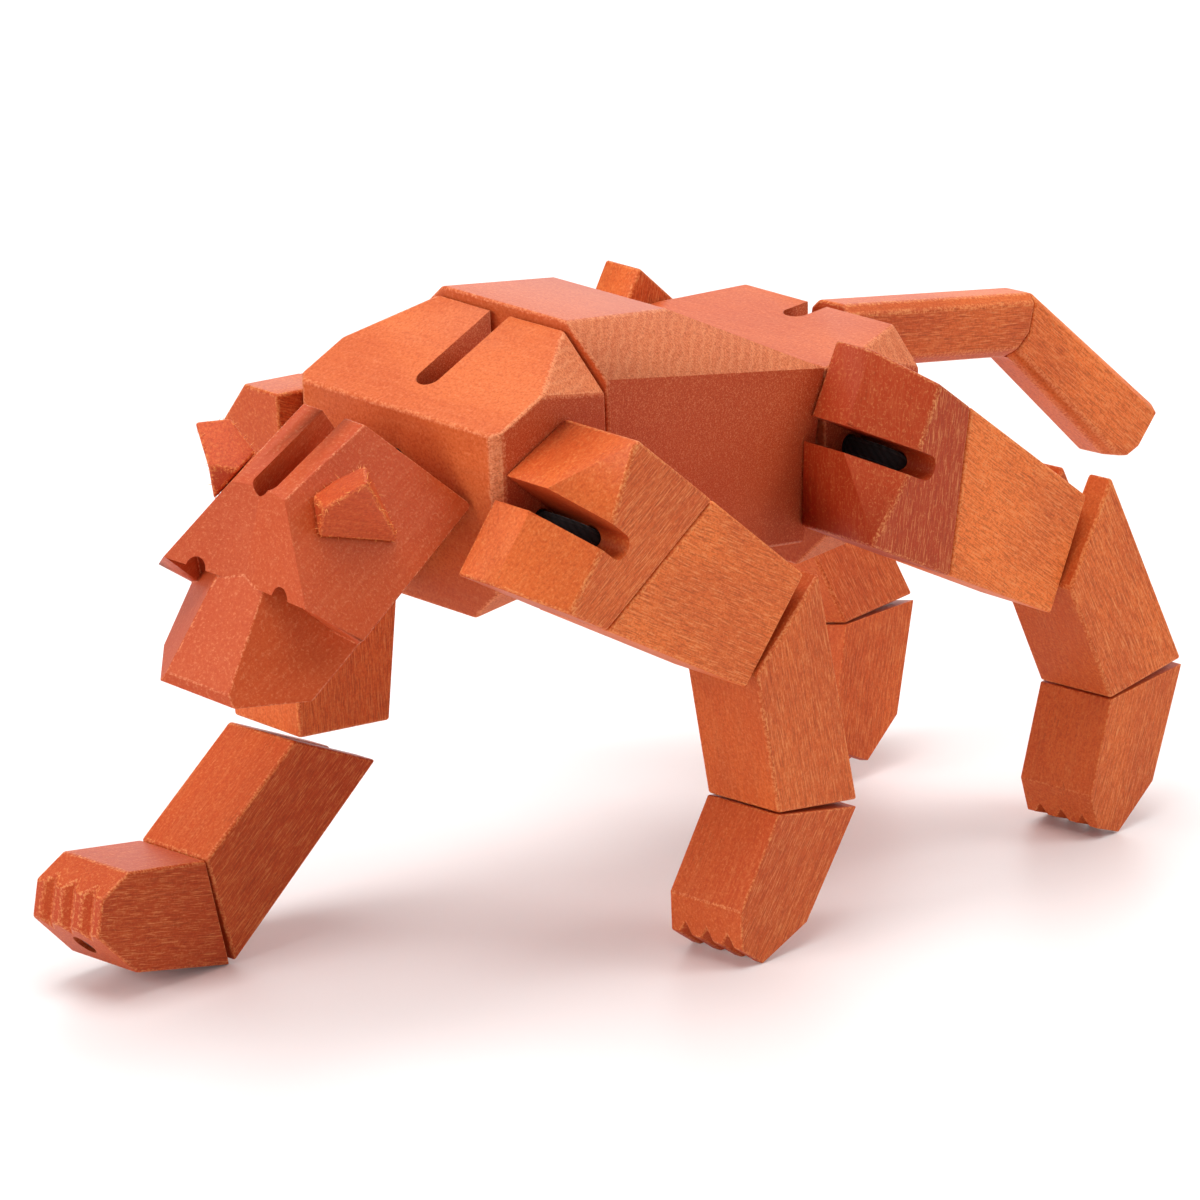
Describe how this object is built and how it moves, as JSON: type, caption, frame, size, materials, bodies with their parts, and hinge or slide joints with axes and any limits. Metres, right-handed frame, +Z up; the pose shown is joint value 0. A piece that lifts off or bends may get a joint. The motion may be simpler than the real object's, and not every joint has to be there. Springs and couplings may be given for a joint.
{
  "type": "articulated wooden animal puzzle",
  "caption": "Standing tiger built of slanted hardwood blocks strung on elastic cord, with swinging legs, bending knees, turning paws, nodding head and jointed tail.",
  "frame": {"origin": "on the ground under the middle of the standing figure's box", "axes": "+Z up, +Y towards the tail, +X towards the figure's left side"},
  "size_m": [0.0956, 0.2718, 0.1267],
  "materials": {
    "stained_beech": "orange-red stained hardwood, sanded, matt",
    "pale_beech": "orange-red stained end grain, matt",
    "elastic": "black covered elastic cord"
  },
  "bodies": {
    "torso": {"torso": "stained_beech", "spine_cord": "elastic"},
    "chest": {"chest": "stained_beech", "chest_cross_cord": "elastic", "chest_spine_cord": "elastic"},
    "neck": {"neck_cord": "elastic"},
    "head": {"head": "stained_beech", "left_ear": "pale_beech", "right_ear": "pale_beech"},
    "hips": {"hips": "stained_beech", "hips_cross_cord": "elastic", "hips_spine_cord": "elastic"},
    "tail_base": {"tail_base": "stained_beech", "tail_cord": "elastic"},
    "tail_tip": {"tail_tip": "stained_beech"},
    "left_front_shoulder": {"left_front_shoulder": "stained_beech", "left_front_shoulder_cord": "elastic"},
    "left_front_upper_arm": {"left_front_upper_arm": "stained_beech", "left_front_upper_arm_cord": "elastic"},
    "left_front_shin": {"left_front_shin": "stained_beech", "left_front_shin_cord": "elastic"},
    "left_front_paw": {"left_front_paw": "stained_beech", "left_front_paw_cord": "elastic"},
    "right_front_shoulder": {"right_front_shoulder": "stained_beech", "right_front_shoulder_cord": "elastic"},
    "right_front_upper_arm": {"right_front_upper_arm": "stained_beech", "right_front_upper_arm_cord": "elastic"},
    "right_front_shin": {"right_front_shin": "stained_beech", "right_front_shin_cord": "elastic"},
    "right_front_paw": {"right_front_paw": "stained_beech", "right_front_paw_cord": "elastic"},
    "left_hind_haunch": {"left_hind_haunch": "stained_beech", "left_hind_haunch_cord": "elastic"},
    "left_hind_thigh": {"left_hind_thigh": "stained_beech", "left_hind_thigh_cord": "elastic"},
    "left_hind_shin": {"left_hind_shin": "stained_beech", "left_hind_shin_cord": "elastic"},
    "left_hind_paw": {"left_hind_paw": "stained_beech", "left_hind_paw_cord": "elastic"},
    "right_hind_haunch": {"right_hind_haunch": "stained_beech", "right_hind_haunch_cord": "elastic"},
    "right_hind_thigh": {"right_hind_thigh": "stained_beech", "right_hind_thigh_cord": "elastic"},
    "right_hind_shin": {"right_hind_shin": "stained_beech", "right_hind_shin_cord": "elastic"},
    "right_hind_paw": {"right_hind_paw": "stained_beech", "right_hind_paw_cord": "elastic"}
  },
  "joints": [
    {"name": "chest_tilt", "type": "hinge", "parent": "torso", "child": "chest", "pos_m": [0.00462, -0.05725, 0.1244], "axis": [0.999, 0, -0.0454], "range_deg": [-10, 0]},
    {"name": "neck_turn", "type": "hinge", "parent": "chest", "child": "neck", "pos_m": [0.00358, -0.08416, 0.10143], "axis": [0.0451, -0.1063, 0.9933], "range_deg": [-5, 2]},
    {"name": "head_nod", "type": "hinge", "parent": "neck", "child": "head", "pos_m": [0.00358, -0.08416, 0.10143], "axis": [0.999, 0, -0.0454], "range_deg": [-6, 3]},
    {"name": "hips_tilt", "type": "hinge", "parent": "torso", "child": "hips", "pos_m": [0.00385, 0.00556, 0.10747], "axis": [0.999, 0, -0.0454], "range_deg": [-9, 8]},
    {"name": "tail_lift", "type": "hinge", "parent": "hips", "child": "tail_base", "pos_m": [0.0046, 0.03466, 0.09672], "axis": [1, 0, 0], "range_deg": [-25, 6]},
    {"name": "tail_tip_lift", "type": "hinge", "parent": "tail_base", "child": "tail_tip", "pos_m": [0.0046, 0.09502, 0.10165], "axis": [1, 0, 0], "range_deg": [0, 30]},
    {"name": "left_front_shoulder_swing", "type": "hinge", "parent": "chest", "child": "left_front_shoulder", "pos_m": [0.02899, -0.0723, 0.09236], "axis": [0.999, 0, -0.0454], "range_deg": [-30, 5]},
    {"name": "left_front_upper_arm_splay", "type": "hinge", "parent": "left_front_shoulder", "child": "left_front_upper_arm", "pos_m": [0.0467, -0.05834, 0.08564], "axis": [-0.0259, -0.8203, -0.5713], "range_deg": [0, 20]},
    {"name": "left_front_shin_bend", "type": "hinge", "parent": "left_front_upper_arm", "child": "left_front_shin", "pos_m": [0.03721, -0.03226, 0.05745], "axis": [1, 0, 0], "range_deg": [-12, 6]},
    {"name": "left_front_paw_turn", "type": "hinge", "parent": "left_front_shin", "child": "left_front_paw", "pos_m": [0.03721, -0.01417, 0.02733], "axis": [0, 0.1207, 0.9927], "range_deg": [-35, 35]},
    {"name": "right_front_shoulder_swing", "type": "hinge", "parent": "chest", "child": "right_front_shoulder", "pos_m": [-0.02256, -0.0723, 0.0947], "axis": [0.999, 0, -0.0454], "range_deg": [-20, 40]},
    {"name": "right_front_upper_arm_splay", "type": "hinge", "parent": "right_front_shoulder", "child": "right_front_upper_arm", "pos_m": [-0.04121, -0.0694, 0.08065], "axis": [-0.0163, 0.9329, -0.3599], "range_deg": [0, 20]},
    {"name": "right_front_shin_bend", "type": "hinge", "parent": "right_front_upper_arm", "child": "right_front_shin", "pos_m": [-0.03563, -0.08101, 0.04019], "axis": [1, 0, 0], "range_deg": [-12, 14]},
    {"name": "right_front_paw_turn", "type": "hinge", "parent": "right_front_shin", "child": "right_front_paw", "pos_m": [-0.03563, -0.10097, 0.01127], "axis": [0, 0.9539, 0.3002], "range_deg": [-35, 35]},
    {"name": "left_hind_haunch_swing", "type": "hinge", "parent": "hips", "child": "left_hind_haunch", "pos_m": [0.02886, 0.0141, 0.08946], "axis": [0.999, 0, -0.0454], "range_deg": [-12, 20]},
    {"name": "left_hind_thigh_splay", "type": "hinge", "parent": "left_hind_haunch", "child": "left_hind_thigh", "pos_m": [0.04642, 0.02604, 0.07931], "axis": [-0.0451, -0.1025, -0.9937], "range_deg": [0, 20]},
    {"name": "left_hind_shin_bend", "type": "hinge", "parent": "left_hind_thigh", "child": "left_hind_shin", "pos_m": [0.03869, 0.05945, 0.05485], "axis": [1, 0, 0], "range_deg": [-12, 8]},
    {"name": "left_hind_paw_turn", "type": "hinge", "parent": "left_hind_shin", "child": "left_hind_paw", "pos_m": [0.03869, 0.08487, 0.03059], "axis": [0, -0.1466, 0.9892], "range_deg": [-35, 35]},
    {"name": "right_hind_haunch_swing", "type": "hinge", "parent": "hips", "child": "right_hind_haunch", "pos_m": [-0.02258, 0.0141, 0.0942], "axis": [0.999, 0, -0.0454], "range_deg": [-12, 18]},
    {"name": "right_hind_thigh_turn", "type": "hinge", "parent": "right_hind_haunch", "child": "right_hind_thigh", "pos_m": [-0.03583, 0.02573, 0.08683], "axis": [0.0079, -0.9849, 0.1732], "range_deg": [-12, 0]},
    {"name": "right_hind_shin_bend", "type": "hinge", "parent": "right_hind_thigh", "child": "right_hind_shin", "pos_m": [-0.03125, 0.05674, 0.05697], "axis": [0.9801, 0.0419, 0.194], "range_deg": [-12, 8]},
    {"name": "right_hind_paw_turn", "type": "hinge", "parent": "right_hind_shin", "child": "right_hind_paw", "pos_m": [-0.02708, 0.07992, 0.0309], "axis": [-0.1914, -0.0596, 0.9797], "range_deg": [-35, 35]}
  ]
}
